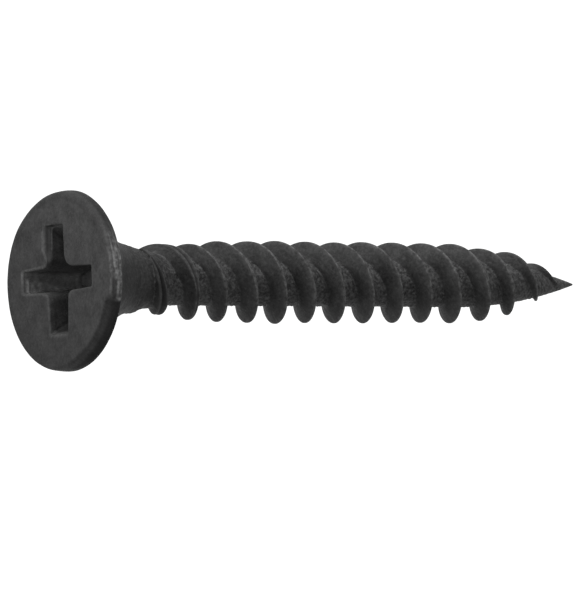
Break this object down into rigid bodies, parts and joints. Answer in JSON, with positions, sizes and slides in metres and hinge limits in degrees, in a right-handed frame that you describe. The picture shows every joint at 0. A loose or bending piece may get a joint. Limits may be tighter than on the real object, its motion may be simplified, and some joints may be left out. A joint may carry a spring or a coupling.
{
  "type": "drywall screw",
  "caption": "Black phosphated bugle-head screw with a cross recess, a flared neck, a twin-start right-hand thread and a sharp point.",
  "frame": {"origin": "centre of the flat top of the head, which is the surface of the board once the screw is driven flush", "axes": "+Z along the screw's axis, out of the head, so the point is at -Z; +X along one wing of the cross recess"},
  "size_m": [0.0084, 0.0084, 0.03],
  "materials": {
    "black_phosphate": "matte charcoal-black phosphate coating on hardened steel, faintly oily, worn lighter on thread crests and edges"
  },
  "bodies": {
    "root": {"head": "black_phosphate", "neck": "black_phosphate", "shank": "black_phosphate", "point": "black_phosphate", "thread_one": "black_phosphate", "thread_two": "black_phosphate"}
  },
  "joints": []
}
